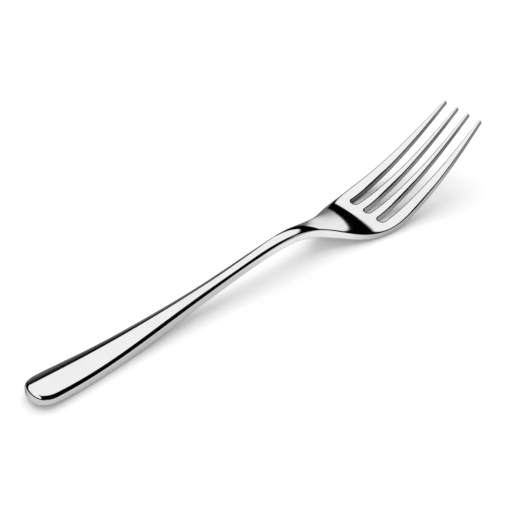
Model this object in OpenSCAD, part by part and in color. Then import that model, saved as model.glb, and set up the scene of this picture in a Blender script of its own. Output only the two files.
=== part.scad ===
// Dinner fork, forged in one piece and mirror polished, lying on a table with its hollow side up.
// X runs from the end of the handle to the tips of the tines, Y across and Z up.
// The origin is on the table, halfway along the fork. All lengths are in millimetres.
// Every cross-section stands square to the underside line, which is a smooth curve in the XZ plane.

/* [Overall] */
// Length of the underside line along the table
fork_length = 206; // [160:1:240]

/* [Handle] */
// Greatest width of the handle, near its end
handle_width = 13.4; // [10:0.1:22]
// Greatest thickness of the handle
handle_thickness = 4.9; // [4.3:0.1:6]
// Length of the rounded outline at the end of the handle
end_round = 7.9; // [5:0.1:12]
// Height by which the very end of the handle is lifted off the table
end_lift = 1.8; // [0.4:0.1:3]

/* [Neck] */
// Least width, where the handle meets the head
neck_width = 4.85; // [4:0.05:8]
// Thickness of the neck
neck_thickness = 3.9; // [3.2:0.1:5]
// Height of the arch under the neck
neck_rise = 9; // [5:0.5:14]

/* [Head] */
// Greatest width of the head
head_width = 28.2; // [22:0.2:34]
// Thickness of the head at the closed ends of the slots
root_thickness = 2.9; // [2.2:0.1:4]

/* [Tines] */
// Length of the slots between the tines, measured along the table
slot_length = 52.3; // [40:0.1:60]
// Width of the middle slot at its closed end
middle_slot_width = 3; // [2:0.1:3.4]
// Width of the two side slots at their closed ends
side_slot_width = 3.4; // [2:0.1:3.6]
// Width of the two inner tines where they leave the head
inner_tine_width = 4.2; // [3:0.1:5]
// Distance between the middles of the two inner tips
inner_tip_spacing = 5.8; // [5:0.1:7]
// Distance between the middles of the two outer tips
outer_tip_spacing = 18.4; // [15:0.1:21]
// Width of a tine at its tip
tip_width = 0.9; // [0.7:0.05:1.6]
// Thickness of a tine at its tip
tip_thickness = 2.05; // [1.6:0.05:2.6]
// Height of the tips' underside above the table
tip_rise = 26; // [12:0.5:32]
// Length of the rounding at the very tip
tip_round = 0.6; // [0.5:0.1:1.5]

/* [Edges and faces] */
// Width of the rolled edge round the fork's top
roll_width = 1.5; // [1:0.1:1.8]
// Depth of the rolled edge round the fork's top
roll_depth = 0.7; // [0.4:0.05:0.8]
// Width and depth of the rolled edge round the underside
low_roll = 0.7; // [0.4:0.05:0.8]
// Height of the top face's crown across the handle
crown = 1; // [0.4:0.05:1.2]
// Fall of the top face just inside the rolled edges
edge_drop = 0.4; // [0:0.05:0.5]
// Height of the underside's crown
low_crown = 0.06; // [0.03:0.01:0.12]

/* [Rests] */
// Depth of the worn flat under the handle and under the head
rest_depth = 0.06; // [0.03:0.01:0.12]

/* [Hidden] */

// Where the three regions of the stem end, as shares of the length
handle_end_share = 0.40;
neck_end_share = 0.585;
handle_to = fork_length * handle_end_share;
neck_to = fork_length * neck_end_share;

// The tines start in the plane of the slots' closed ends
root_to = fork_length - slot_length;

// Spare length on every cut
overrun = 5;

// Shape of the handle's end: a power of 2 is an ellipse, more is squarer
end_power = 2.4;
// Angle at which the rounded end starts, which leaves a narrow flat
end_start_angle = 4;

// Stations of the underside line: place share of the length, height share of the size that it follows
arch_shares = [
    [0.27, 0.241], [0.41, 0.680], [0.50, 0.974], [0.57, 0.978], [0.63, 0.566], [0.69, 0.139]
];
sweep_shares = [[0.81, 0.128], [0.90, 0.470], [1.00, 1.00]];
handle_rest_share = 0.1286;
head_rest_share = 0.737;
underside_stations = concat(
    [[0, end_lift]],
    [[handle_rest_share * fork_length, 0]],
    [for (s = arch_shares) [s.x * fork_length, s.y * neck_rise]],
    [[head_rest_share * fork_length, 0]],
    [for (s = sweep_shares) [s.x * fork_length, s.y * tip_rise]]
);

// Stations of the half-width: place share, then the share of the way from the neck to the wider part
handle_flare_shares = [
    [0, 1.044], [0.06, 1.008], [0.13, 0.815], [0.22, 0.497], [0.32, 0.165], [0.41, 0.011]
];
head_flare_shares = [
    [0.50, 0.009], [0.56, 0.038], [0.60, 0.088], [0.64, 0.330], [0.68, 0.684], [0.72, 0.914], [0.77, 1.011]
];
// Beyond its widest place the head narrows towards the tips
tine_flare_shares = [[0.83, 0.871], [0.92, 0.467], [1.00, 0]];
tip_half_span = (outer_tip_spacing + tip_width) / 2;
width_stations = concat(
    [for (s = handle_flare_shares) [s.x * fork_length, between(neck_width, handle_width, s.y) / 2]],
    [for (s = head_flare_shares) [s.x * fork_length, between(neck_width, head_width, s.y) / 2]],
    [for (s = tine_flare_shares) [s.x * fork_length, between(tip_half_span, head_width / 2, s.y)]]
);

// Stations of the thickness: place share, then the share of the way from the thinner part to the thicker
end_thick_share = 0.845;
handle_thick_shares = [[0.15, 1.03], [0.34, 0.51], [0.51, 0.08], [0.61, -0.22]];
root_thick_shares = [[0.69, 0.33], [0.75, -0.06]];
tine_thick_shares = [[0.84, 0.62], [0.93, 0.24], [1.00, 0]];
thickness_stations = concat(
    [[0, handle_thickness * end_thick_share]],
    [for (s = handle_thick_shares) [s.x * fork_length, between(neck_thickness, handle_thickness, s.y)]],
    [for (s = root_thick_shares) [s.x * fork_length, between(root_thickness, neck_thickness, s.y)]],
    [for (s = tine_thick_shares) [s.x * fork_length, between(tip_thickness, root_thickness, s.y)]]
);

// Places where the cross-section changes, as shares of the length, and its sizes there
section_places_share = [0, 0.12, 0.24, 0.39, 0.47, 0.53, 0.58, 0.62, 0.66, 0.70, 0.74, 0.79, 1];
roll_width_shares = [1.03, 0.90, 1.05, 1.45, 1.33, 0.66, 0.51, 0.38, 0.50, 1.00, 1.15, 0.85, 0.62];
roll_depth_shares = [1.72, 1.13, 0.62, 0.75, 1.16, 1.33, 0.84, 0.50, 0.61, 0.63, 0.59, 0.72, 0.70];
low_roll_shares = [1, 1, 1.05, 1.15, 1.20, 1.25, 1.15, 1, 0.85, 0.70, 0.60, 0.45, 0.40];
crown_shares = [1.24, 1.00, 0.85, 0.48, 0.17, 0.17, 0.28, -0.01, 0.22, 0.27, -0.02, -0.11, 0];
edge_drop_shares = [0.23, 0.14, 0.04, -0.25, 0.24, 1.01, 0, 0.12, 0.20, 0.10, 0, 0, 0];

// The edge drop grows with this power of the distance from the middle line
drop_power = 6;

// Greatest width of a rolled edge as a share of half the stem, half a tine and half a tip
stem_roll_share = 0.9;
tine_roll_share = 0.8;
tip_roll_share = 0.5;

// Greatest depth of a tine's rolled edge as a share of its width
tine_depth_share = 0.6;

// Part of a narrow ring's half that its rolled edges may take
fit_share = 0.95;

// Unit pieces of the cross-section: shares across its flat part and angles of its rolled edges
flat_shares = [0.08, 0.22, 0.36, 0.5, 0.64, 0.78, 0.92];
top_angles = [0, 18, 36, 54, 72, 90];
low_angles = [0, 30, 60, 90];

// Steps between cross-sections in each region and round the ends
end_steps = 9;
handle_steps = 20;
neck_steps = 18;
root_steps = 22;
slot_round_steps = 5;
shaft_steps = 20;
tip_steps = 4;

// Angles where the steps round a slot's end stop, and where those round a tip start and stop
slot_stop_angle = 75;
tip_start_angle = 18;
tip_stop_angle = 80;

// A value the given share of the way from one to another
function between(from, to, share) = from + (to - from) * share;
function steps(from, to, count) = [for (i = [0 : count]) between(from, to, i / count)];

// Natural cubic spline through [place, value] stations: its second derivative at each station
function spline_rows(p, i = 1, rows = [[0, 0]]) =
    i == len(p) - 1 ? rows :
    let (
        left = p[i].x - p[i - 1].x,
        right = p[i + 1].x - p[i].x,
        bend = 6 * ((p[i + 1].y - p[i].y) / right - (p[i].y - p[i - 1].y) / left),
        pivot = 2 * (left + right) - left * rows[i - 1].x
    )
    spline_rows(p, i + 1, concat(rows, [[right / pivot, (bend - left * rows[i - 1].y) / pivot]]));
function spline_back(rows, i, bends) =
    i < 0 ? bends : spline_back(rows, i - 1, concat([rows[i].y - rows[i].x * bends[0]], bends));
function spline(p) = [p, spline_back(spline_rows(p), len(p) - 2, [0])];
function span_of(p, x, i = 0) = i >= len(p) - 2 || x < p[i + 1].x ? i : span_of(p, x, i + 1);
function value_at(s, x) =
    let (
        i = span_of(s[0], x),
        a = s[0][i],
        b = s[0][i + 1],
        h = b.x - a.x,
        m = s[1][i],
        n = s[1][i + 1]
    )
    (m * pow(b.x - x, 3) + n * pow(x - a.x, 3)) / (6 * h)
    + (a.y / h - m * h / 6) * (b.x - x) + (b.y / h - n * h / 6) * (x - a.x);
function slope_at(s, x) =
    let (
        i = span_of(s[0], x),
        a = s[0][i],
        b = s[0][i + 1],
        h = b.x - a.x,
        m = s[1][i],
        n = s[1][i + 1]
    )
    (n * pow(x - a.x, 2) - m * pow(b.x - x, 2)) / (2 * h) + (b.y - a.y) / h - h * (n - m) / 6;

// Spline of one size of the cross-section along the fork
function section_line(shares, size) =
    spline([for (i = [0 : len(shares) - 1]) [section_places_share[i] * fork_length, shares[i] * size]]);

underside = spline(underside_stations);
half_widths = spline(width_stations);
thicknesses = spline(thickness_stations);
roll_widths = section_line(roll_width_shares, roll_width);
roll_depths = section_line(roll_depth_shares, roll_depth);
low_rolls = section_line(low_roll_shares, low_roll);
crowns = section_line(crown_shares, crown);
edge_drops = section_line(edge_drop_shares, edge_drop);

// Half of a slot's width near its round closed end, and its full half-width past that
function slot_half(x, width) =
    let (back = max(root_to + width / 2 - x, 0))
    sqrt(max(pow(width / 2, 2) - pow(back, 2), 0));

// Edges of the slots, straight from their round ends to the tips
slot_straight_from = root_to + side_slot_width / 2;
side_slot_middle = middle_slot_width / 2 + inner_tine_width + side_slot_width / 2;
function to_tip(x, edge, tip_middle, side) =
    between(edge, tip_middle + side * tip_width / 2,
        (x - slot_straight_from) / (fork_length - slot_straight_from));
function inner_tine_edges(x) =
    x < slot_straight_from
    ? [slot_half(x, middle_slot_width), side_slot_middle - slot_half(x, side_slot_width)]
    : [
        to_tip(x, middle_slot_width / 2, inner_tip_spacing / 2, -1),
        to_tip(x, side_slot_middle - side_slot_width / 2, inner_tip_spacing / 2, 1)
    ];
function outer_tine_edges(x) =
    x < slot_straight_from
    ? [side_slot_middle + slot_half(x, side_slot_width), value_at(half_widths, x)]
    : [
        to_tip(x, side_slot_middle + side_slot_width / 2, outer_tip_spacing / 2, -1),
        value_at(half_widths, x)
    ];

// A point at the given height above the underside line, measured square to it
function lifted(x, y, height) =
    let (slope = slope_at(underside, x), long = sqrt(1 + slope * slope))
    [x - slope / long * height - fork_length / 2, y, value_at(underside, x) + height / long];

// Fall of a rolled edge at the given distance in from the outline
function rolled(inset, width, depth) =
    inset >= width ? 0 : depth * (1 - sqrt(1 - pow(1 - max(inset, 0) / width, 2)));

// Heights of the bottom and the top faces over the underside line
function top_height(x, y, inset, roll) =
    let (across = abs(y) / value_at(half_widths, x))
    value_at(thicknesses, x)
    - value_at(crowns, x) * pow(across, 2)
    - value_at(edge_drops, x) * pow(across, drop_power)
    - rolled(inset, roll, min(value_at(roll_depths, x), roll * (x > root_to ? tine_depth_share : 1)));
function low_height(x, y, inset, roll) =
    low_crown * pow(y / value_at(half_widths, x), 2) + rolled(inset, roll, roll);

// Places across a section from one edge to the other, closer together in the rolled edges
function across(from, to, roll, angles) =
    let (last = len(angles) - 1)
    concat(
        [for (i = [last : -1 : 0]) from + roll * (1 - sin(angles[i]))],
        [for (f = flat_shares) between(from + roll, to - roll, f)],
        [for (a = angles) to - roll * (1 - sin(a))]
    );

// Greatest width of a rolled edge, and its widths at the top and the bottom of a section
function roll_limit(x) =
    x > root_to
    ? between(inner_tine_width * tine_roll_share, tip_width * tip_roll_share, (x - root_to) / slot_length) / 2
    : value_at(half_widths, x) * stem_roll_share;
function top_roll(x) = min(value_at(roll_widths, x), roll_limit(x));
function bottom_roll(x) = min(value_at(low_rolls, x), top_roll(x));

// Ring of points round a cross-section from one edge to the other, where inset gives a point's
// distance in from the outline
function ring(x, from, to, inset) =
    let (
        top = top_roll(x),
        low = bottom_roll(x),
        fits = (to - from) / 2 * fit_share,
        tops = across(from, to, min(top, fits), top_angles),
        lows = across(from, to, min(low, fits), low_angles)
    )
    concat(
        [for (y = tops) lifted(x, y, top_height(x, y, inset(y), top))],
        [for (i = [len(lows) - 1 : -1 : 0]) lifted(x, lows[i], low_height(x, lows[i], inset(lows[i]), low))]
    );

// Ring of the stem, which is symmetrical
function stem_ring(x) =
    let (w = value_at(half_widths, x))
    ring(x, -w, w, function (y) w - abs(y));

// Ring within the rounded end of the handle, at the given angle round it
function end_ring(angle) =
    let (
        x = end_round * (1 - cos(angle) / cos(end_start_angle)),
        w = value_at(half_widths, x),
        half = w * pow(sin(angle), 2 / end_power),
        along = (end_round - x) / end_round,
        far = function (y) pow(pow(along, end_power) + pow(abs(y) / w, end_power), 1 / end_power),
        reach = function (y) between(w, end_round, pow(along / max(far(y), along), 2))
    )
    ring(x, -half, half, function (y) min((1 - far(y)) * reach(y), half - abs(y)));

// Ring of a tine between two edges, narrowed to the given share of its width at the tip
function tine_ring(x, edges, side, fullness = 1) =
    let (
        middle = (edges[0] + edges[1]) / 2 * side,
        half = (edges[1] - edges[0]) / 2 * fullness
    )
    ring(x, middle - half, middle + half,
        function (y) min(y - middle + half, middle + half - y, fork_length - x));

// Skin over rings that have the same number of points, closed by a flat face at each end
module skin(rings) {
    n = len(rings[0]);
    last = len(rings) - 1;
    points = [for (r = rings) for (p = r) p];
    walls = [
        for (j = [0 : last - 1])
        for (i = [0 : n - 1])
        let (a = j * n + i, b = j * n + (i + 1) % n)
        for (face = [[a, b, b + n], [a, b + n, a + n]]) face
    ];
    start = [for (i = [n - 1 : -1 : 0]) i];
    finish = [for (i = [0 : n - 1]) last * n + i];
    polyhedron(points, concat([start], walls, [finish]), convexity = 6);
}

// A region of the fork, cut flat where it would reach the table, then set down on it
module region(rings) {
    translate([0, 0, -rest_depth])
        difference() {
            skin(rings);
            translate([-fork_length / 2 - overrun, -head_width / 2 - overrun, -overrun])
                cube([fork_length + 2 * overrun, head_width + 2 * overrun, overrun + rest_depth]);
        }
}

module handle() {
    rounded = [for (a = steps(end_start_angle, 90, end_steps)) end_ring(a)];
    straight = [for (x = steps(end_round, handle_to, handle_steps)) stem_ring(x)];
    color("gainsboro")
        region(concat([for (i = [0 : len(rounded) - 2]) rounded[i]], straight));
}

module neck() {
    color("lightgray")
        region([for (x = steps(handle_to, neck_to, neck_steps)) stem_ring(x)]);
}

module root() {
    color("silver")
        region([for (x = steps(neck_to, root_to, root_steps)) stem_ring(x)]);
}

// A tine: the round of its slots' ends, its shaft and its rounded tip
module tine(edges_at, side) {
    shaft_to = fork_length - tip_round;
    slot_round = [
        for (a = steps(0, slot_stop_angle, slot_round_steps))
        let (x = root_to + side_slot_width / 2 * (1 - cos(a)))
        tine_ring(x, edges_at(x), side)
    ];
    shaft = [for (x = steps(slot_straight_from, shaft_to, shaft_steps)) tine_ring(x, edges_at(x), side)];
    tip = [
        for (a = steps(tip_start_angle, tip_stop_angle, tip_steps))
        let (x = shaft_to + tip_round * sin(a))
        tine_ring(x, edges_at(x), side, cos(a))
    ];
    color("whitesmoke")
        region(concat(slot_round, shaft, tip));
}

// Tines are numbered from the +Y side across to the -Y side
module tine_1() tine(function (x) outer_tine_edges(x), 1);
module tine_2() tine(function (x) inner_tine_edges(x), 1);
module tine_3() tine(function (x) inner_tine_edges(x), -1);
module tine_4() tine(function (x) outer_tine_edges(x), -1);

handle();
neck();
root();
tine_1();
tine_2();
tine_3();
tine_4();
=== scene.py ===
"""A dinner fork of mirror-polished stainless steel, lying on a pale studio floor.

The fork is drawn as a flat blank: a plan outline with a height over the underside at every place.
Its edges are rolled over all round, the faces between them are filled, and the blank is then bent along
the underside line, as the real fork is. Normals come from the same surfaces, so that the polish mirrors
the studio without a ripple.
"""

import logging
import math
from collections.abc import Callable, Iterable, Sequence
from dataclasses import dataclass, field
from enum import Enum

import bmesh
import bpy
import numpy as np
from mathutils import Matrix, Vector, geometry


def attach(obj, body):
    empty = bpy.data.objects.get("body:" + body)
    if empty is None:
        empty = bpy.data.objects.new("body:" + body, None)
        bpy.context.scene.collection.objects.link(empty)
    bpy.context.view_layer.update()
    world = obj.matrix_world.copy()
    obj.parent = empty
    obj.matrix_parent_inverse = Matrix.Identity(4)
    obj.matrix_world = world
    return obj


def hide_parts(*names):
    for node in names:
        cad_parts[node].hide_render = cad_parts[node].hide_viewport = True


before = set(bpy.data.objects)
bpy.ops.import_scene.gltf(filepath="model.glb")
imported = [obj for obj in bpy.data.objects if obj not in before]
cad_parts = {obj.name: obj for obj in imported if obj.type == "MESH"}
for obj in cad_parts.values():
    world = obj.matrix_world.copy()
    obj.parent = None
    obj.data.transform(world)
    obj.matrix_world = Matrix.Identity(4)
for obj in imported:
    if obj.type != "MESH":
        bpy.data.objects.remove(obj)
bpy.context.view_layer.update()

log = logging.getLogger("dinner_fork")

MM = 0.001
BODY = "root"
STEEL_SLOT = "polished_steel"

Array = np.ndarray
Line = Callable[[float], float]
Height = Callable[[Array, Array], Array]
Pair = tuple[float, float]
Triple = tuple[float, float, float]
Walk = list[Pair]
Shares = tuple[float, ...]
Stations = tuple[Pair, ...]
Ramp = tuple[float, float, float, float]
Colour = tuple[float, float, float, float]
Tree = bpy.types.NodeTree
Node = bpy.types.Node
Socket = bpy.types.NodeSocket
Value = Socket | float | tuple[float, ...]


def between(start: float, end: float, share: float) -> float:
    """Return the value the given share of the way from start to end."""
    return start + (end - start) * share


def grey(level: float) -> Colour:
    """Return an opaque grey."""
    return level, level, level, 1


def new_object(name: str, data: bpy.types.ID) -> bpy.types.Object:
    """Return a new object in the scene."""
    made = bpy.data.objects.new(name, data)
    bpy.context.scene.collection.objects.link(made)
    return made


def unit(rows: Array) -> Array:
    """Return the rows scaled to length one."""
    return rows / np.linalg.norm(rows, axis=1)[:, None]


class SmoothLine:
    """A natural cubic spline through given stations."""

    def __init__(self, stations: Sequence[Pair]) -> None:
        """Fit the spline.

        Args:
            stations: Places in rising order, each with its value.
        """
        self.places, self.values = np.array(stations, float).T
        gaps = np.diff(self.places)
        rises = np.diff(self.values) / gaps
        count = len(self.places)
        system = np.eye(count)
        load = np.zeros(count)
        for i in range(1, count - 1):
            system[i, i - 1:i + 2] = gaps[i - 1], 2 * (gaps[i - 1] + gaps[i]), gaps[i]
            load[i] = 6 * (rises[i] - rises[i - 1])
        self.bends = np.linalg.solve(system, load)

    def _span(self, place: Array) -> tuple[Array, ...]:
        """Return, for each place, the distances to the stations about it, their gap, values and bends."""
        i = np.clip(np.searchsorted(self.places, place, side="right") - 1, 0, len(self.places) - 2)
        near, far = place - self.places[i], self.places[i + 1] - place
        return near, far, near + far, self.values[i], self.values[i + 1], self.bends[i], self.bends[i + 1]

    def value(self, place: Array) -> Array:
        """Return the spline's value at each place."""
        near, far, gap, a, b, m, n = self._span(np.asarray(place, float))
        cubic = (m * far ** 3 + n * near ** 3) / (6 * gap)
        return cubic + (a / gap - m * gap / 6) * far + (b / gap - n * gap / 6) * near

    def slope(self, place: Array) -> Array:
        """Return the spline's slope at each place."""
        near, far, gap, a, b, m, n = self._span(np.asarray(place, float))
        return (n * near ** 2 - m * far ** 2) / (2 * gap) + (b - a) / gap - gap * (n - m) / 6


@dataclass
class ForkShape:
    """The sizes of the fork, and the surfaces that follow from them.

    Sizes and shares are the same as in the part's source. Heights are over the underside line.
    """

    length: float = 206 * MM
    handle_width: float = 13.4 * MM
    handle_thickness: float = 4.9 * MM
    end_round: float = 7.9 * MM
    end_power: float = 2.4
    end_lift: float = 1.8 * MM
    roll_width: float = 1.5 * MM
    roll_depth: float = 0.7 * MM
    low_roll: float = 0.7 * MM
    crown: float = 1 * MM
    low_crown: float = 0.06 * MM
    edge_drop: float = 0.4 * MM
    neck_width: float = 4.85 * MM
    neck_thickness: float = 3.9 * MM
    neck_rise: float = 9 * MM
    head_width: float = 28.2 * MM
    root_thickness: float = 2.9 * MM
    slot_length: float = 52.3 * MM
    middle_slot_width: float = 3 * MM
    side_slot_width: float = 3.4 * MM
    inner_tine_width: float = 4.2 * MM
    inner_tip_spacing: float = 5.8 * MM
    outer_tip_spacing: float = 18.4 * MM
    tip_width: float = 0.9 * MM
    tip_thickness: float = 2.05 * MM
    tip_rise: float = 26 * MM
    tip_round: float = 0.6 * MM
    rest_depth: float = 0.06 * MM
    handle_end_share: float = 0.40
    neck_end_share: float = 0.585
    handle_rest_share: float = 0.1286
    head_rest_share: float = 0.737
    arch_shares: Stations = (
        (0.27, 0.241), (0.41, 0.680), (0.50, 0.974), (0.57, 0.978), (0.63, 0.566), (0.69, 0.139))
    sweep_shares: Stations = ((0.81, 0.128), (0.90, 0.470), (1.00, 1.00))
    handle_flare_shares: Stations = (
        (0, 1.044), (0.06, 1.008), (0.13, 0.815), (0.22, 0.497), (0.32, 0.165), (0.41, 0.011))
    head_flare_shares: Stations = (
        (0.50, 0.009), (0.56, 0.038), (0.60, 0.088), (0.64, 0.330), (0.68, 0.684), (0.72, 0.914),
        (0.77, 1.011))
    tine_flare_shares: Stations = ((0.83, 0.871), (0.92, 0.467), (1.00, 0))
    end_thick_share: float = 0.845
    handle_thick_shares: Stations = ((0.15, 1.03), (0.34, 0.51), (0.51, 0.08), (0.61, -0.22))
    root_thick_shares: Stations = ((0.69, 0.33), (0.75, -0.06))
    tine_thick_shares: Stations = ((0.84, 0.62), (0.93, 0.24), (1.00, 0))
    section_places_share: Shares = (0, 0.12, 0.24, 0.39, 0.47, 0.53, 0.58, 0.62, 0.66, 0.70, 0.74, 0.79, 1)
    roll_width_shares: Shares = (1.03, 0.90, 1.05, 1.45, 1.33, 0.66, 0.51, 0.38, 0.50, 1.00, 1.15, 0.85, 0.62)
    roll_depth_shares: Shares = (1.72, 1.13, 0.62, 0.75, 1.16, 1.33, 0.84, 0.50, 0.61, 0.63, 0.59, 0.72, 0.7)
    low_roll_shares: Shares = (1, 1, 1.05, 1.15, 1.2, 1.25, 1.15, 1, 0.85, 0.7, 0.6, 0.45, 0.4)
    crown_shares: Shares = (1.24, 1.00, 0.85, 0.48, 0.17, 0.17, 0.28, -0.01, 0.22, 0.27, -0.02, -0.11, 0)
    edge_drop_shares: Shares = (0.23, 0.14, 0.04, -0.25, 0.24, 1.01, 0, 0.12, 0.20, 0.10, 0, 0, 0)
    drop_power: int = 6
    tine_roll_share: float = 0.8
    tip_roll_share: float = 0.5
    tine_depth_share: float = 0.6
    stem_roll_share: float = 0.9
    underside: SmoothLine = field(init=False)
    half_widths: SmoothLine = field(init=False)
    thicknesses: SmoothLine = field(init=False)
    crowns: SmoothLine = field(init=False)
    edge_drops: SmoothLine = field(init=False)
    roll_widths: SmoothLine = field(init=False)
    roll_depths: SmoothLine = field(init=False)
    low_rolls: SmoothLine = field(init=False)

    def __post_init__(self) -> None:
        """Fit the splines to the sizes."""
        self.underside = self._line(
            [(0, self.end_lift), (self.handle_rest_share, 0)]
            + self._blend(0, self.neck_rise, self.arch_shares) + [(self.head_rest_share, 0)]
            + self._blend(0, self.tip_rise, self.sweep_shares))
        neck_half, head_half = self.neck_width / 2, self.head_width / 2
        tip_half = (self.outer_tip_spacing + self.tip_width) / 2
        self.half_widths = self._line(
            self._blend(neck_half, self.handle_width / 2, self.handle_flare_shares)
            + self._blend(neck_half, head_half, self.head_flare_shares)
            + self._blend(tip_half, head_half, self.tine_flare_shares))
        self.thicknesses = self._line(
            [(0, self.handle_thickness * self.end_thick_share)]
            + self._blend(self.neck_thickness, self.handle_thickness, self.handle_thick_shares)
            + self._blend(self.root_thickness, self.neck_thickness, self.root_thick_shares)
            + self._blend(self.tip_thickness, self.root_thickness, self.tine_thick_shares))
        self.crowns = self._section(self.crown_shares, self.crown)
        self.edge_drops = self._section(self.edge_drop_shares, self.edge_drop)
        self.roll_widths = self._section(self.roll_width_shares, self.roll_width)
        self.roll_depths = self._section(self.roll_depth_shares, self.roll_depth)
        self.low_rolls = self._section(self.low_roll_shares, self.low_roll)

    @staticmethod
    def _blend(start: float, end: float, shares: Iterable[Pair]) -> Walk:
        """Return places, each with the size the given share of the way from start to end."""
        return [(place, between(start, end, share)) for place, share in shares]

    def _line(self, stations: Sequence[Pair]) -> SmoothLine:
        """Return a spline along the fork through stations at shares of its length."""
        return SmoothLine([(share * self.length, value) for share, value in stations])

    def _section(self, shares: Sequence[float], size: float) -> SmoothLine:
        """Return a size of the section as it changes along the fork."""
        return self._line(self._blend(0, size, zip(self.section_places_share, shares)))

    @property
    def root_to(self) -> float:
        """Place of the slots' closed ends, where the tines start."""
        return self.length - self.slot_length

    @property
    def borders(self) -> Triple:
        """Places where the handle, the neck and the root end."""
        return self.length * self.handle_end_share, self.length * self.neck_end_share, self.root_to

    @property
    def side_slot_middle(self) -> float:
        """Distance of a side slot's middle line from the fork's, at the slots' closed ends."""
        return self.middle_slot_width / 2 + self.inner_tine_width + self.side_slot_width / 2

    @property
    def sides_from(self) -> float:
        """Place where the straight sides of the side slots start."""
        return self.root_to + self.side_slot_width / 2

    def half_width(self, x: float) -> float:
        """Return half the width of the outline at one place."""
        return float(self.half_widths.value(x))

    def top(self, x: Array, y: Array) -> Array:
        """Return the height of the top face, before its edges are rolled."""
        out = y / self.half_widths.value(x)
        drop = self.edge_drops.value(x) * out ** self.drop_power
        return self.thicknesses.value(x) - self.crowns.value(x) * out ** 2 - drop

    def bottom(self, x: Array, y: Array) -> Array:
        """Return the height of the bottom face, before its edges are rolled."""
        return self.low_crown * (y / self.half_widths.value(x)) ** 2

    def bent(self, x: Array, y: Array, height: Array) -> Array:
        """Bend points of the blank along the underside line.

        Args:
            x: Places along the table from the end of the handle.
            y: Places across.
            height: Heights over the underside line.

        Returns:
            The points in the frame, one row each.
        """
        slope = self.underside.slope(x)
        along = 1 / np.sqrt(1 + slope ** 2)
        return np.column_stack((
            x - slope * along * height - self.length / 2,
            y,
            self.underside.value(x) + along * height - self.rest_depth,
        ))


class Region(Enum):
    """The named regions of the fork, in order from the handle."""

    HANDLE = "handle"
    NECK = "neck"
    ROOT = "root"
    TINE_1 = "tine_1"
    TINE_2 = "tine_2"
    TINE_3 = "tine_3"
    TINE_4 = "tine_4"


@dataclass(frozen=True)
class TineEdge:
    """A tine's straight edge in plan, from where the slots' sides start to the tip."""

    start: float
    end: float
    from_place: float
    run: float

    def at(self, x: float) -> float:
        """Return the edge's distance from the fork's middle line."""
        return between(self.start, self.end, (x - self.from_place) / self.run)


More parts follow.
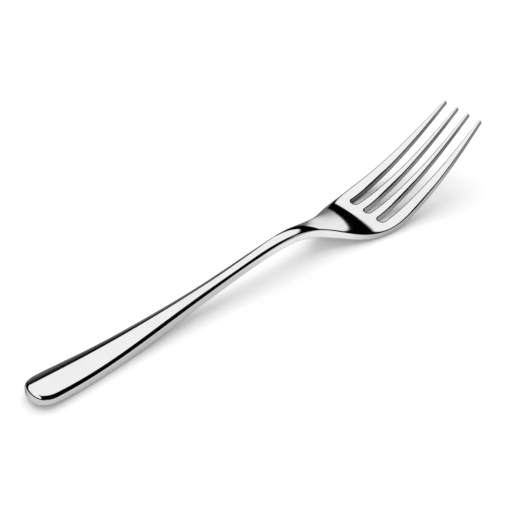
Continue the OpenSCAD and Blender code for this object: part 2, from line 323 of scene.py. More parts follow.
@dataclass
class Outline:
    """The closed plan outline of the blank, with the way in from the edge at each point."""

    shape: ForkShape
    step: float = 1.0 * MM
    end_steps: int = 18
    arc_steps: int = 16
    tip_steps: int = 7
    tip_fade_widths: float = 8
    on_side: float = 1e-9
    points: Array = field(init=False)
    inward: Array = field(init=False)
    roll: Array = field(init=False)
    in_slot: Array = field(init=False)

    def __post_init__(self) -> None:
        """Walk one half of the outline and mirror it."""
        half = np.array(self._half())
        self.points = np.vstack((half, half[-2:0:-1] * (1, -1)))
        tangent = unit(np.roll(self.points, -1, 0) - np.roll(self.points, 1, 0))
        self.inward = np.column_stack((tangent[:, 1], -tangent[:, 0]))
        x, y = self.points.T
        is_outer = np.abs(y) > self.shape.half_widths.value(x) - self.on_side
        self._square_sides(x, is_outer)
        self.roll = self._roll_widths(x)
        tip_fade = np.clip((self.shape.length - x) / (self.tip_fade_widths * self.shape.tip_width), 0, 1)
        self.in_slot = np.where(is_outer | (x < self.shape.root_to - self.step), 0, tip_fade)

    def _stations(self, start: float, end: float) -> list[float]:
        """Return even places from start to end, with the regions' borders among them."""
        stops = [start, *(border for border in self.shape.borders if start < border < end), end]
        places = [start]
        for a, b in zip(stops, stops[1:]):
            places += list(np.linspace(a, b, max(2, round((b - a) / self.step) + 1))[1:])
        return places

    def _tine_edge(self, start: float, end: float) -> Line:
        """Return a straight edge of a tine by its distances at the slots' sides and at the tip."""
        shape = self.shape
        return TineEdge(start, end, shape.sides_from, shape.length - shape.sides_from).at

    def _tine(self, outer: Line, inner: Line, first: Sequence[float], last: Sequence[float]) -> Walk:
        """Walk up a tine's outer edge, round its tip and down its inner edge.

        Args:
            outer: The outer edge.
            inner: The inner edge.
            first: Places of the points on the outer edge.
            last: Places of the points on the inner edge.

        Returns:
            The points walked.
        """
        shape = self.shape
        tip_from = shape.length - shape.tip_round
        walk = [(x, outer(x)) for x in first]
        for i in range(1, 2 * self.tip_steps):
            angle = math.pi * i / (2 * self.tip_steps)
            x = tip_from + shape.tip_round * math.sin(angle)
            middle, half = (outer(x) + inner(x)) / 2, (outer(x) - inner(x)) / 2
            walk.append((x, middle + half * math.cos(angle)))
        return walk + [(x, inner(x)) for x in last]

    def _slot_end(self, middle: float, radius: float, steps: range) -> Walk:
        """Walk round a slot's closed end, with arc_steps steps in a quarter circle."""
        angles = [math.pi / 2 * i / self.arc_steps for i in steps]
        straight = self.shape.root_to + radius
        return [(straight - radius * math.sin(a), middle + radius * math.cos(a)) for a in angles]

    def _half(self) -> Walk:
        """Walk the +Y half of the outline, from the end of the handle to the middle slot's closed end."""
        shape = self.shape
        tip_from = shape.length - shape.tip_round
        walk: Walk = [(0.0, 0.0)]
        for i in range(1, self.end_steps):
            angle = math.pi / 2 * i / self.end_steps
            x = shape.end_round * (1 - math.cos(angle) ** (2 / shape.end_power))
            walk.append((x, shape.half_width(x) * math.sin(angle) ** (2 / shape.end_power)))
        side_radius, middle_radius = shape.side_slot_width / 2, shape.middle_slot_width / 2
        inner_tip, outer_tip = shape.inner_tip_spacing / 2, shape.outer_tip_spacing / 2
        side, tip = shape.side_slot_middle, shape.tip_width / 2
        rising = self._stations(shape.sides_from, tip_from)
        walk += self._tine(
            shape.half_width, self._tine_edge(side + side_radius, outer_tip - tip),
            self._stations(shape.end_round, tip_from), rising[::-1])
        walk += self._slot_end(side, side_radius, range(1, 2 * self.arc_steps))
        walk += self._tine(
            self._tine_edge(side - side_radius, inner_tip + tip),
            self._tine_edge(middle_radius, inner_tip - tip), rising, rising[::-1])
        return walk + self._slot_end(0, middle_radius, range(self.arc_steps)) + [(shape.root_to, 0.0)]

    def _square_sides(self, x: Array, is_outer: Array) -> None:
        """Turn the way in straight across on the long sides, so that sections stay square to the fork."""
        shape = self.shape
        is_long = (x >= shape.end_round) & (x <= shape.length - shape.tip_round)
        on_side = is_long & (is_outer | (x >= shape.sides_from))
        self.inward[on_side, 1] = np.sign(self.inward[on_side, 1])
        self.inward[on_side, 0] = 0

    def _roll_widths(self, x: Array) -> Array:
        """Return the rolled edge's width at each point, narrower on slim tines."""
        shape = self.shape
        tine_limit = np.interp(x, (shape.root_to, shape.length), (
            shape.inner_tine_width / 2 * shape.tine_roll_share, shape.tip_width / 2 * shape.tip_roll_share))
        limit = np.where(x > shape.root_to, tine_limit, shape.half_widths.value(x) * shape.stem_roll_share)
        return np.minimum(shape.roll_widths.value(x), limit)


@dataclass
class Blank:
    """The flat blank as a mesh: places, heights, bent points, normals and marks of wear."""

    shape: ForkShape
    outline: Outline
    top_rings: int = 10
    wall_rings: int = 3
    bottom_rings: int = 7
    nudge: float = 1e-3 * MM
    turn_nudge: float = 1e-4
    satin_power: int = 6
    least_row_share: float = 0.8
    least_gap_share: float = 0.4
    first_row_share: float = 2 / 3
    place_digits: int = 9
    weld: float = 1e-6
    flat: list[Array] = field(default_factory=list)
    solid: list[Array] = field(default_factory=list)
    normals: list[Array] = field(default_factory=list)
    marks: list[Array] = field(default_factory=list)
    faces: list[tuple[int, ...]] = field(default_factory=list)
    count: int = 0

    def _add(self, places: tuple[Array, Array, Array], normals: Array, worn: Array, in_slot: Array) -> int:
        """Add vertices.

        Args:
            places: Their places along and across and their heights on the blank.
            normals: Their outward directions on the bent fork, of any length.
            worn: How much of the edge wear each one has.
            in_slot: How much of the slot walls' finish each one has.

        Returns:
            The number of the first one.
        """
        first = self.count
        self.flat.append(np.column_stack(places))
        self.solid.append(self.shape.bent(*places))
        self.normals.append(unit(normals))
        self.marks.append(np.column_stack((worn, in_slot)))
        self.count += len(normals)
        return first

    def _edge_ring(self, angle: float, is_top: bool) -> tuple[Array, Array, Array]:
        """Return a rolled edge's ring at an angle, from 0 at the face to a right angle at the wall."""
        shape, outline = self.shape, self.outline
        x_edge = outline.points[:, 0]
        width = outline.roll if is_top else np.minimum(outline.roll, shape.low_rolls.value(x_edge))
        slim = np.where(x_edge > shape.root_to, shape.tine_depth_share, 1)
        depth = np.minimum(shape.roll_depths.value(x_edge), outline.roll * slim) if is_top else width
        inset = width * (1 - math.sin(angle))
        x = x_edge + outline.inward[:, 0] * inset
        y = outline.points[:, 1] + outline.inward[:, 1] * inset
        fall = depth * (1 - math.cos(angle))
        return x, y, shape.top(x, y) - fall if is_top else shape.bottom(x, y) + fall

    def _ring_normals(self, angle: float, is_top: bool) -> Array:
        """Return outward directions on a rolled edge's ring, from its own surface."""
        ring = self.shape.bent(*self._edge_ring(angle, is_top))
        around = np.roll(ring, -1, 0) - np.roll(ring, 1, 0)
        outer = self.shape.bent(*self._edge_ring(min(angle + self.turn_nudge, math.pi / 2), is_top))
        inner = self.shape.bent(*self._edge_ring(max(angle - self.turn_nudge, 0), is_top))
        normals = np.cross(around, outer - inner)
        slope = self.shape.underside.slope(self.outline.points[:, 0])
        up = np.column_stack((-slope, np.zeros(len(slope)), np.ones(len(slope))))
        out = np.column_stack((-self.outline.inward, np.zeros(len(slope))))
        outward = up * math.cos(angle) * (1 if is_top else -1) + out * math.sin(angle)
        return normals * np.sign(np.sum(normals * outward, axis=1))[:, None]

    def _face_normals(self, height_at: Height, x: Array, y: Array, sign: int) -> Array:
        """Return outward directions on the top or bottom face from small steps over it."""
        step = self.nudge
        bent = self.shape.bent
        along = bent(x + step, y, height_at(x + step, y)) - bent(x - step, y, height_at(x - step, y))
        across = bent(x, y + step, height_at(x, y + step)) - bent(x, y - step, height_at(x, y - step))
        return np.cross(along, across) * sign

    def _roll(self, angle: float, is_top: bool) -> int:
        """Add a rolled edge's ring and return its first vertex's number."""
        in_slot = self.outline.in_slot * math.sin(angle) ** self.satin_power
        worn = np.full(len(in_slot), math.sin(2 * angle) ** 2)
        return self._add(self._edge_ring(angle, is_top), self._ring_normals(angle, is_top), worn, in_slot)

    def build(self) -> None:
        """Add all rings and both faces."""
        outline = self.outline
        rings = [self._roll(math.pi / 2 * i / self.top_rings, True) for i in range(self.top_rings + 1)]
        x, y, top_edge = self._edge_ring(math.pi / 2, True)
        _, _, low_edge = self._edge_ring(math.pi / 2, False)
        wall_normals = self._ring_normals(math.pi / 2, True)
        for i in range(1, self.wall_rings):
            height = between(top_edge, low_edge, i / self.wall_rings)
            rings.append(self._add((x, y, height), wall_normals, 0 * x, outline.in_slot))
        for i in range(self.bottom_rings, -1, -1):
            rings.append(self._roll(math.pi / 2 * i / self.bottom_rings, False))
        size = len(outline.points)
        for upper, lower in zip(rings, rings[1:]):
            for i in range(size):
                j = (i + 1) % size
                self.faces.append((upper + i, upper + j, lower + j, lower + i))
        self._fill(rings[0], self.shape.top, 1)
        self._fill(rings[-1], self.shape.bottom, -1)

    def _fill(self, first: int, height_at: Height, sign: int) -> None:
        """Fill the face inside a ring with rows of points at the outline's own places.

        Args:
            first: Number of the ring's first vertex.
            height_at: The face's height at places on the blank.
            sign: 1 for the top face and -1 for the bottom face.
        """
        size = len(self.outline.points)
        flat = np.vstack(self.flat)[first:first + size, :2]
        inside = self._rows(flat)
        vertices = [Vector(p / MM) for p in np.vstack((flat, inside))]
        edges = [(i, (i + 1) % size) for i in range(size)]
        made = geometry.delaunay_2d_cdt(vertices, edges, [], 1, self.weld)
        strays = [v for v, o in zip(made[0], made[3]) if not o]
        if strays:
            raise ValueError(f"the rolled edge crosses itself near {tuple(strays[0])} mm")
        source = [o[0] for o in made[3]]
        x, y = inside.T
        added = self._add((x, y, height_at(x, y)), self._face_normals(height_at, x, y, sign), 0 * x, 0 * x)
        number = [first + s if s < size else added + s - size for s in source]
        for face in made[2]:
            corners = [number[i] for i in face]
            self.faces.append(tuple(corners if sign > 0 else corners[::-1]))

    def _rows(self, ring: Array) -> Array:
        """Return points inside a ring, in rows across the fork.

        Args:
            ring: The ring's places on the blank.

        Returns:
            The inner points' places, one row each.
        """
        step = self.outline.step
        first = step * self.first_row_share
        along = self.outline.points[:, 0]
        places = sorted({round(float(x), self.place_digits) for x in along if x > first})
        kept = [places[0]]
        for x in places[1:]:
            if x - kept[-1] > self.least_row_share * step:
                kept.append(x)
        ahead = np.roll(ring, -1, 0)
        rows = []
        for x in kept:
            crosses = (ring[:, 0] <= x) != (ahead[:, 0] <= x)
            a, b = ring[crosses], ahead[crosses]
            ends = np.sort(a[:, 1] + (x - a[:, 0]) / (b[:, 0] - a[:, 0]) * (b[:, 1] - a[:, 1]))
            for low, high in ends.reshape(-1, 2):
                count = round((high - low) / step)
                rows += [(x, between(low, high, i / count)) for i in range(1, count)]
        points = np.array(rows)
        gaps = np.array([np.min(np.sum((ring - p) ** 2, axis=1)) for p in points])
        return points[gaps > (self.least_gap_share * step) ** 2]


@dataclass
class ForkBody:
    """The fork's named regions as meshes, cut from the blank and closed where they meet."""

    shape: ForkShape
    cut_reach: float = 1e-4
    flat_angle: float = 30
    square_angle: float = 50
    pieces: dict[Region, bpy.types.Object] = field(default_factory=dict)

    def build(self) -> None:
        """Build the blank, cut it at the regions' borders and make one piece of each region."""
        blank = Blank(self.shape, Outline(self.shape))
        blank.build()
        log.info("blank: %d vertices, %d faces", blank.count, len(blank.faces))
        cut = self._cut(blank)
        for region in Region:
            self.pieces[region] = self._piece(cut, region)
            log.info("%s: %d faces", region.value, len(self.pieces[region].data.polygons))
        cut.free()

    def _cut(self, blank: Blank) -> bmesh.types.BMesh:
        """Return the blank as a flat bmesh with its bent points and normals as layers, cut at the borders."""
        flat, solid = np.vstack(blank.flat) / MM, np.vstack(blank.solid) / MM
        normals, marks = np.vstack(blank.normals), np.vstack(blank.marks)
        made = bmesh.new()
        layers = made.verts.layers
        solid_layer, normal_layer = layers.float_vector.new("solid"), layers.float_vector.new("outward")
        worn_layer, slot_layer = layers.float.new("worn"), layers.float.new("in_slot")
        for place, point, normal, (worn, in_slot) in zip(flat, solid, normals, marks):
            vertex = made.verts.new(place)
            vertex[solid_layer], vertex[normal_layer] = point, normal
            vertex[worn_layer], vertex[slot_layer] = worn, in_slot
        made.verts.ensure_lookup_table()
        for face in blank.faces:
            made.faces.new([made.verts[i] for i in face])
        triangles = [f for f in made.faces if len(f.verts) == 3]
        bmesh.ops.join_triangles(
            made, faces=triangles, angle_face_threshold=math.radians(self.flat_angle),
            angle_shape_threshold=math.radians(self.square_angle))
        for border in self.shape.borders:
            parts = [*made.verts, *made.edges, *made.faces]
            bmesh.ops.bisect_plane(
                made, geom=parts, dist=self.cut_reach, plane_co=(border / MM, 0, 0), plane_no=(1, 0, 0))
        return made

    def _region_at(self, place: Vector) -> Region:
        """Return the region that holds a place on the blank, given in millimetres."""
        shape = self.shape
        x, y = place.x * MM, place.y * MM
        for border, region in zip(shape.borders, Region):
            if x < border:
                return region
        tip_split = (shape.inner_tip_spacing + shape.outer_tip_spacing) / 4
        split = between(shape.side_slot_middle, tip_split, (x - shape.root_to) / shape.slot_length)
        if abs(y) > split:
            return Region.TINE_1 if y > 0 else Region.TINE_4
        return Region.TINE_2 if y > 0 else Region.TINE_3

    def _piece(self, cut: bmesh.types.BMesh, region: Region) -> bpy.types.Object:
        """Return one region as a closed mesh object with the surfaces' own normals.

        Args:
            cut: The whole fork, cut at the borders.
            region: The region to keep.

        Returns:
            The region's object.
        """
        made = cut.copy()
        others = [f for f in made.faces if self._region_at(f.calc_center_median()) is not region]
        bmesh.ops.delete(made, geom=others, context="FACES")
        solid_layer = made.verts.layers.float_vector["solid"]
        normal_layer = made.verts.layers.float_vector["outward"]
        open_edges = [e for e in made.edges if e.is_boundary]
        for edge in open_edges:
            edge.smooth = False
        caps = bmesh.ops.edgeloop_fill(made, edges=open_edges)["faces"]
        for vertex in made.verts:
            point = vertex[solid_layer] * MM
            vertex.co = (point.x, point.y, max(point.z, 0))
        bmesh.ops.recalc_face_normals(made, faces=made.faces)
        made.faces.index_update()
        cap_numbers = {cap.index for cap in caps}
        smooth = [v[normal_layer].normalized() for v in made.verts]
        mesh = bpy.data.meshes.new(region.value)
        made.to_mesh(mesh)
        made.free()
        corner_normals = []
        for polygon in mesh.polygons:
            polygon.use_smooth = True
            is_cap = polygon.index in cap_numbers
            for corner in polygon.loop_indices:
                vertex = mesh.loops[corner].vertex_index
                corner_normals.append(polygon.normal.copy() if is_cap else smooth[vertex])
        mesh.normals_split_custom_set(corner_normals)
        for name in ("solid", "outward"):
            mesh.attributes.remove(mesh.attributes[name])
        return new_object(f"polished_{region.value}", mesh)

    def dress(self, material: bpy.types.Material) -> None:
        """Give every piece the steel, and put each in its CAD node's place."""
        for region, piece in self.pieces.items():
            piece.data.materials.append(material)
            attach(piece, BODY)
            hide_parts(region.value)


class Graph:
    """Short calls for adding shader nodes to one tree."""

    def __init__(self, tree: Tree) -> None:
        """Keep the tree's nodes and links."""
        self.nodes, self.links = tree.nodes, tree.links

    def add(self, kind: str, **settings: object) -> Node:
        """Add a node.

        Args:
            kind: The node's type, without the common start of its name.
            settings: Properties to set on it.

        Returns:
            The node.
        """
        node = self.nodes.new(f"ShaderNode{kind}")
        for name, value in settings.items():
            setattr(node, name, value)
        return node

    def feed(self, socket: Socket, value: Value) -> None:
        """Link a socket to another, or write a value into it."""
        if isinstance(value, Socket):
            self.links.new(value, socket)
        else:
            socket.default_value = value

    def calc(self, operation: str, *values: Value) -> Socket:
        """Return the result of one step of arithmetic."""
        node = self.add("Math", operation=operation)
        for socket, value in zip(node.inputs, values):
            self.feed(socket, value)
        return node.outputs[0]

    def rise(self, value: Value, start: float, end: float, low: float = 0, high: float = 1) -> Socket:
        """Return a value that goes softly from low to high as another goes from start to end."""
        node = self.add("MapRange", interpolation_type="SMOOTHSTEP")
        for name, given in (
                ("Value", value), ("From Min", start), ("From Max", end), ("To Min", low), ("To Max", high)):
            self.feed(node.inputs[name], given)
        return node.outputs["Result"]

    def mix(self, factor: Value, first: Value, second: Value, is_color: bool = False) -> Socket:
        """Return a blend of two numbers or colours."""
        node = self.add("Mix", data_type="RGBA" if is_color else "FLOAT")
        kind = "Color" if is_color else "Float"
        values = {f"A_{kind}": first, f"B_{kind}": second, "Factor_Float": factor}
        for socket in node.inputs:
            if socket.identifier in values:
                self.feed(socket, values[socket.identifier])
        return next(o for o in node.outputs if o.identifier == f"Result_{kind}")

    def place(self) -> Socket:
        """Return the place of the shaded point, in metres."""
        return self.add("TexCoord").outputs["Object"]

    def axes(self, place: Socket) -> Sequence[Socket]:
        """Return a place's parts along the three axes."""
        split = self.add("SeparateXYZ")
        self.feed(split.inputs[0], place)
        return split.outputs


def new_material(name: str) -> tuple[bpy.types.Material, Graph, Node]:
    """Start a material and return it with its graph and its shader."""
    material = bpy.data.materials.new(name)
    material.use_nodes = True
    tree = material.node_tree
    return material, Graph(tree), tree.nodes["Principled BSDF"]


def new_group(name: str, output: str, **inputs: str) -> tuple[Tree, Graph, dict, Callable]:
    """Start a shader node group that puts out one value.

    Args:
        name: The group's name.
        output: Its output's name.
        inputs: Its inputs' names, each with its kind: Float or Vector.

    Returns:
        The group, its graph, its inputs by name, and a call that links the result.
    """
    tree = bpy.data.node_groups.new(name, "ShaderNodeTree")
    for label, kind in inputs.items():
        tree.interface.new_socket(label, in_out="INPUT", socket_type=f"NodeSocket{kind}")
    tree.interface.new_socket(output, in_out="OUTPUT", socket_type="NodeSocketFloat")
    graph = Graph(tree)
    given, result = tree.nodes.new("NodeGroupInput"), tree.nodes.new("NodeGroupOutput")

    def finish(value: Socket) -> None:
        """Link the group's result."""
        graph.feed(result.inputs[output], value)

    return tree, graph, {label: given.outputs[label] for label in inputs}, finish


def noise(graph: Graph, place: Value, scale: Value, detail: float = 2) -> Socket:
    """Return soft noise about a half, at a place given in metres."""
    node = graph.add("TexNoise")
    graph.feed(node.inputs["Vector"], place)
    graph.feed(node.inputs["Scale"], scale)
    node.inputs["Detail"].default_value = detail
    return node.outputs["Fac"]


def scaled(graph: Graph, place: Value, scale: Value) -> Socket:
    """Return a place scaled along each axis."""
    node = graph.add("VectorMath", operation="MULTIPLY")
    graph.feed(node.inputs[0], place)
    graph.feed(node.inputs[1], scale)
    return node.outputs["Vector"]


class SteelMarks:
    """The marks that polishing, washing and use leave on steel, as node groups.

    Each pair of bounds says where, in noise from 0 to 1, a mark starts and where it is full.
    """

    line_bounds: Pair = (0.35, 0.65)
    line_detail: float = 3
    patch_detail: float = 4
    scratch_turns: Triple = (12, 63, 141)
    scratch_grain: Triple = (140, 9000, 140)
    scratch_bounds: Pair = (0.66, 0.72)
    scratched_bounds: Pair = (0.4, 0.6)
    haze_bounds: Pair = (0.38, 0.7)
    wear_scale: float = 420
    wear_bounds: Pair = (0.4, 0.65)

    def __init__(self) -> None:
        """Build the groups."""
        self.lines = self._polishing_lines()
        self.scratches = self._scratches()
        self.haze = self._water_haze()
        self.wear = self._edge_wear()

    def _polishing_lines(self) -> Tree:
        """Return fine parallel lines; Grain gives their number in a metre along each axis."""
        tree, graph, given, finish = new_group("polishing_lines", "Lines", Place="Vector", Grain="Vector")
        lines = noise(graph, scaled(graph, given["Place"], given["Grain"]), 1, self.line_detail)
        finish(graph.rise(lines, *self.line_bounds))
        return tree

    def _scratches(self) -> Tree:
        """Return thin straight scratches that lie in three directions, in patches of the given Size."""
        tree, graph, given, finish = new_group("scratches", "Scratches", Place="Vector", Size="Float")
        found: Value = 0.0
        for turn in self.scratch_turns:
            turned = graph.add("VectorRotate", rotation_type="Z_AXIS")
            graph.feed(turned.inputs["Vector"], given["Place"])
            turned.inputs["Angle"].default_value = math.radians(turn)
            streaks = noise(graph, scaled(graph, turned.outputs[0], self.scratch_grain), 1)
            found = graph.calc("MAXIMUM", found, graph.rise(streaks, *self.scratch_bounds))
        patches = noise(graph, given["Place"], graph.calc("DIVIDE", 1, given["Size"]))
        finish(graph.calc("MULTIPLY", found, graph.rise(patches, *self.scratched_bounds)))
        return tree

    def _water_haze(self) -> Tree:
        """Return the soft uneven haze of hard water, in patches of the given Size."""
        tree, graph, given, finish = new_group("water_haze", "Haze", Place="Vector", Size="Float")
        patches = noise(graph, given["Place"], graph.calc("DIVIDE", 1, given["Size"]), self.patch_detail)
        finish(graph.rise(patches, *self.haze_bounds))
        return tree

    def _edge_wear(self) -> Tree:
        """Return the rubbed finish of the rolled edges, broken up along them."""
        tree, graph, given, finish = new_group("edge_wear", "Wear", Place="Vector", Worn="Float")
        rubs = graph.rise(noise(graph, given["Place"], self.wear_scale, self.patch_detail), *self.wear_bounds)
        finish(graph.calc("MULTIPLY", given["Worn"], rubs))
        return tree


@dataclass(frozen=True)
class PolishedSteel:
    """Mirror-polished stainless steel, with a satin finish on the walls of the slots, whose colour is
    darkened by painted shade towards the tips.
    """

    clean: Colour = (0.87, 0.87, 0.875, 1)
    hazed: Colour = (0.83, 0.83, 0.835, 1)
    roughness: float = 0.03
    haze_roughness: float = 0.014
    line_roughness: float = 0.008
    scratch_roughness: float = 0.06
    wear_roughness: float = 0.03
    satin_roughness: float = 0.10
    satin_line_roughness: float = 0.10
    satin_from: float = 0.6
    # Painted shade: the grey that the slot walls' colour darkens to, between two places along the fork.
    painted_shade: Colour = (0.56, 0.56, 0.565, 1)
    painted_shade_from: float = 45 * MM
    painted_shade_to: float = 70 * MM
    face_grain: Triple = (60, 5000, 300)
    slot_grain: Triple = (5000, 300, 200)
    patch: float = 22 * MM
    haze_patch: float = 14 * MM
    mark_depth: float = 0.004 * MM
    mark_strength: float = 0.1
    line_depth_share: float = 0.2

    @staticmethod
    def _placed(graph: Graph, tree: Tree, **values: Value) -> Socket:
        """Return the output of a group placed in the material with its own values."""
        node = graph.add("Group", node_tree=tree)
        for name, value in values.items():
            graph.feed(node.inputs[name], value)
        return node.outputs[0]

    @staticmethod
    def _mask(graph: Graph, name: str) -> Socket:
        """Return a mask that the mesh carries."""
        return graph.add("Attribute", attribute_name=name).outputs["Fac"]

    def build(self, marks: SteelMarks) -> bpy.types.Material:
        """Build the material.

        Args:
            marks: The node groups of the marks on the steel.

        Returns:
            The material.
        """
        material, graph, shader = new_material(STEEL_SLOT)
        place = graph.place()
        haze = self._placed(graph, marks.haze, Place=place, Size=self.haze_patch)
        scratches = self._placed(graph, marks.scratches, Place=place, Size=self.patch)
        face_lines = self._placed(graph, marks.lines, Place=place, Grain=self.face_grain)
        slot_lines = self._placed(graph, marks.lines, Place=place, Grain=self.slot_grain)
        wear = self._placed(graph, marks.wear, Place=place, Worn=self._mask(graph, "worn"))
        in_slot = graph.rise(self._mask(graph, "in_slot"), self.satin_from, 1)
        polished: Value = self.roughness
        for mark, amount in ((haze, self.haze_roughness), (face_lines, self.line_roughness),
                             (scratches, self.scratch_roughness), (wear, self.wear_roughness)):
            polished = graph.calc("MULTIPLY_ADD", mark, amount, polished)
        satin = graph.calc("MULTIPLY_ADD", slot_lines, self.satin_line_roughness, self.satin_roughness)
        graph.feed(shader.inputs["Roughness"], graph.mix(in_slot, polished, satin))
        along = graph.axes(place)[0]
        # Painted shade: the slot walls darken along the tines towards the tips.
        painted_shading = graph.calc("MULTIPLY", in_slot, graph.rise(along, self.painted_shade_from, self.painted_shade_to))
        steel = graph.mix(haze, self.clean, self.hazed, is_color=True)
        graph.feed(shader.inputs["Base Color"], graph.mix(painted_shading, steel, self.painted_shade, is_color=True))
        shader.inputs["Metallic"].default_value = 1
        bump = graph.add("Bump", invert=True)
        bump.inputs["Strength"].default_value = self.mark_strength
        bump.inputs["Distance"].default_value = self.mark_depth
        low_lines = graph.calc("MULTIPLY", face_lines, self.line_depth_share)
        graph.feed(bump.inputs["Height"], graph.calc("MAXIMUM", scratches, low_lines))
        graph.feed(shader.inputs["Normal"], bump.outputs["Normal"])
        return material


@dataclass(frozen=True)
class SkyPatch:
    """A soft-edged light in the sky that the polish mirrors, by elevation and azimuth in degrees.

    The tilts lean its low and right edges, by degrees for each degree of the other angle.
    """

    low: float
    high: float
    right: float
    left: float
    strength: float
    soft: float = 1.4
    fade: float = 5
    low_tilt: float = 0
    low_tilt_to: float = 90
    right_tilt: float = 0

    def lit(self, graph: Graph, elevation: Value, azimuth: Value) -> Socket:
        """Return the patch's light at a direction."""
        light: Value = self.strength
        tilted = graph.calc("MINIMUM", azimuth, self.low_tilt_to)
        over_low = graph.calc("MULTIPLY_ADD", tilted, -self.low_tilt, elevation)
        off_right = graph.calc("MULTIPLY_ADD", elevation, -self.right_tilt, azimuth)
        for angle, edge, soft, rises in (
                (over_low, self.low, self.soft, True), (elevation, self.high, self.soft, False),
                (off_right, self.right, self.fade, True), (azimuth, self.left, self.fade, False)):
            edge_light = graph.rise(angle, edge - soft / 2, edge + soft / 2, 1 - rises, rises)
            light = graph.calc("MULTIPLY", light, edge_light)
        return light


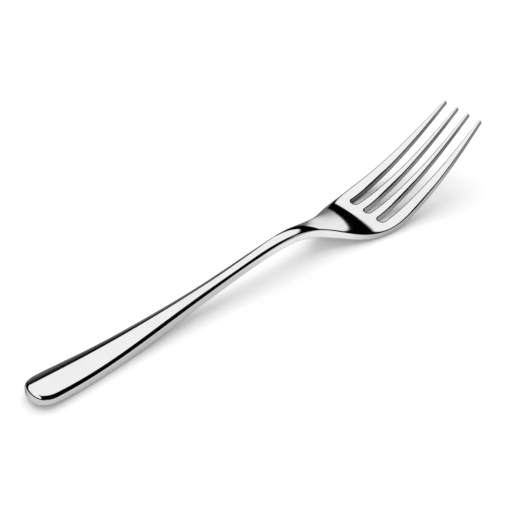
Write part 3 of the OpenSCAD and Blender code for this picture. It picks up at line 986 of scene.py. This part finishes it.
@dataclass(frozen=True)
class Studio:
    """The plain white studio: camera, floor, sky, lamp and a dark sheet behind the fork that paints a dark
    reflection.

    A mirrored ramp is two places along the fork and the floor's grey at each, as the polish sees it.
    """

    camera_place: Triple = (-0.2360, -0.2705, 0.3061)
    camera_tilt: float = 50.255
    camera_turn: float = -40.47
    lens: float = 90
    sensor: float = 36
    floor_size: float = 6.0
    floor_seen: float = 0.97
    floor_glow: float = 0.1
    matt_roughness: float = 0.9
    mirrored_rise: Ramp = (-10 * MM, 18 * MM, 0.72, 0.97)
    mirrored_fall: Ramp = (28 * MM, 48 * MM, 1, 0.6)
    mirrored_end: Ramp = (80 * MM, 118 * MM, 1, 0.46)
    # Painted dark reflection: the grey, place and fading edges of a sheet behind the fork that only the
    # polish sees.
    painted_reflection_dark: float = 0.09
    painted_reflection_lift: float = 0.2 * MM
    painted_reflection_front: float = 1 * MM
    painted_reflection_fade: float = 8 * MM
    painted_reflection_side: float = -112 * MM
    painted_reflection_side_fade: float = 12 * MM
    lamp_place: Triple = (0.16, 0.48, 1.3)
    lamp_size: Pair = (1.6, 1.3)
    lamp_power: float = 10
    sky_fill: float = 0.66
    sky_seam: float = -120
    panel: SkyPatch = SkyPatch(17.1, 84, 53.9, 228, 1.0, low_tilt=0.197, right_tilt=-0.706)
    low_light: SkyPatch = SkyPatch(-100, 12, -10, 36.6, 0.95, soft=2, fade=6)
    low_rest: SkyPatch = SkyPatch(-100, 11, 30, 54, 0.2, soft=3, fade=6)
    near_glow: SkyPatch = SkyPatch(-100, 10.8, -130, -10, 0.66, soft=2, fade=6)
    side_light: SkyPatch = SkyPatch(15, 31, -53.5, -40, 0.5, soft=6, fade=4)
    far_glow: SkyPatch = SkyPatch(-100, 17, 54, 78, 0.2, soft=20, fade=4)

    def camera(self) -> None:
        """Make the camera at the photograph's place."""
        data = bpy.data.cameras.new("camera")
        data.lens = self.lens
        data.sensor_width = self.sensor
        camera = new_object("camera", data)
        camera.location = self.camera_place
        camera.rotation_euler = (math.radians(self.camera_tilt), 0, math.radians(self.camera_turn))
        bpy.context.scene.camera = camera

    def _sheet(self, name: str, low: Pair, high: Pair, height: float) -> tuple[bpy.types.Object, Graph, Node]:
        """Return a matt level sheet between two corners, as a stage object, with its graph and shader."""
        mesh = bpy.data.meshes.new(name)
        corners = [(low[0], low[1]), (high[0], low[1]), (high[0], high[1]), (low[0], high[1])]
        mesh.from_pydata([(*corner, height) for corner in corners], [], [(0, 1, 2, 3)])
        sheet = new_object(name, mesh)
        material, graph, shader = new_material(name)
        shader.inputs["Roughness"].default_value = self.matt_roughness
        shader.inputs["Specular IOR Level"].default_value = 0
        mesh.materials.append(material)
        return sheet, graph, shader

    def _mirrored(self, graph: Graph) -> Socket:
        """Return the floor's grey as the polish mirrors it, palest where the neck meets the head."""
        along = graph.axes(graph.place())[0]
        level: Value = 1.0
        for ramp in (self.mirrored_rise, self.mirrored_fall, self.mirrored_end):
            level = graph.calc("MULTIPLY", level, graph.rise(along, *ramp))
        return level

    def floor(self) -> None:
        """Make the pale floor, whose glow for the camera fills its colour up to white."""
        half = self.floor_size / 2
        _, graph, shader = self._sheet("floor", (-half, -half), (half, half), 0)
        is_camera = graph.add("LightPath").outputs["Is Camera Ray"]
        shade = graph.mix(is_camera, self._mirrored(graph), grey(self.floor_seen), is_color=True)
        graph.feed(shader.inputs["Base Color"], shade)
        shader.inputs["Emission Color"].default_value = grey(1)
        graph.feed(shader.inputs["Emission Strength"], graph.calc("MULTIPLY", is_camera, self.floor_glow))

    def dark_painted_reflection(self) -> None:
        """Lay a dark sheet on the floor behind the fork, a painted dark reflection which only the polish
        sees.
        """
        half = self.floor_size / 2
        painted_reflection, graph, shader = self._sheet(
            "dark_painted_reflection", (self.painted_reflection_side, self.painted_reflection_front), (half, half), self.painted_reflection_lift)
        x, y, _ = graph.axes(graph.place())
        across = graph.rise(y, self.painted_reflection_front, self.painted_reflection_front + self.painted_reflection_fade)
        along = graph.rise(x, self.painted_reflection_side, self.painted_reflection_side + self.painted_reflection_side_fade)
        inside = graph.calc("MULTIPLY", across, along)
        shade = graph.mix(inside, self._mirrored(graph), grey(self.painted_reflection_dark), is_color=True)
        graph.feed(shader.inputs["Base Color"], shade)
        # Only reflections show the sheet, so it is a painted dark reflection.
        painted_reflection.visible_camera = painted_reflection.visible_diffuse = painted_reflection.visible_shadow = False

    def sky(self) -> None:
        """Make the sky: white to the camera, an even fill for matt things, and lit patches for the polish."""
        world = bpy.data.worlds.new("studio")
        bpy.context.scene.world = world
        world.use_nodes = True
        world.node_tree.nodes.clear()
        graph = Graph(world.node_tree)
        output, background = graph.add("OutputWorld"), graph.add("Background")
        background.inputs["Color"].default_value = grey(1)
        graph.feed(output.inputs["Surface"], background.outputs[0])
        x, y, z = graph.axes(graph.add("TexCoord").outputs["Generated"])
        elevation = graph.calc("DEGREES", graph.calc("ARCSINE", z))
        turn = graph.calc("DEGREES", graph.calc("ARCTAN2", y, x))
        azimuth = graph.calc("MULTIPLY_ADD", graph.calc("LESS_THAN", turn, self.sky_seam), 360, turn)
        mirrored: Value = 0.0
        patches = (
            self.panel, self.low_light, self.low_rest, self.near_glow, self.side_light, self.far_glow)
        for patch in patches:
            mirrored = graph.calc("MAXIMUM", mirrored, patch.lit(graph, elevation, azimuth))
        path = graph.add("LightPath")
        light = graph.mix(path.outputs["Is Glossy Ray"], self.sky_fill, mirrored)
        graph.feed(background.inputs["Strength"], graph.mix(path.outputs["Is Camera Ray"], light, 1.0))

    def lamp(self) -> None:
        """Make the soft lamp above and behind the fork."""
        data = bpy.data.lights.new("soft_lamp", "AREA")
        data.shape = "RECTANGLE"
        data.size, data.size_y = self.lamp_size
        data.energy = self.lamp_power
        lamp = new_object("soft_lamp", data)
        lamp.location = self.lamp_place
        lamp.rotation_euler = (-lamp.location).to_track_quat("-Z", "Y").to_euler()
        lamp.visible_glossy = lamp.visible_camera = False

    def build(self) -> None:
        """Build the whole studio."""
        bpy.context.scene.view_settings.view_transform = "Standard"
        for part in (self.camera, self.floor, self.dark_painted_reflection, self.sky, self.lamp):
            part()
            log.info("studio: %s", part.__name__)


def main() -> None:
    """Build the studio and the fork, and report each piece."""
    logging.basicConfig(level=logging.INFO, format="%(message)s")
    Studio().build()
    fork = ForkBody(ForkShape())
    fork.build()
    fork.dress(PolishedSteel().build(SteelMarks()))


if __name__ == "__main__":
    main()
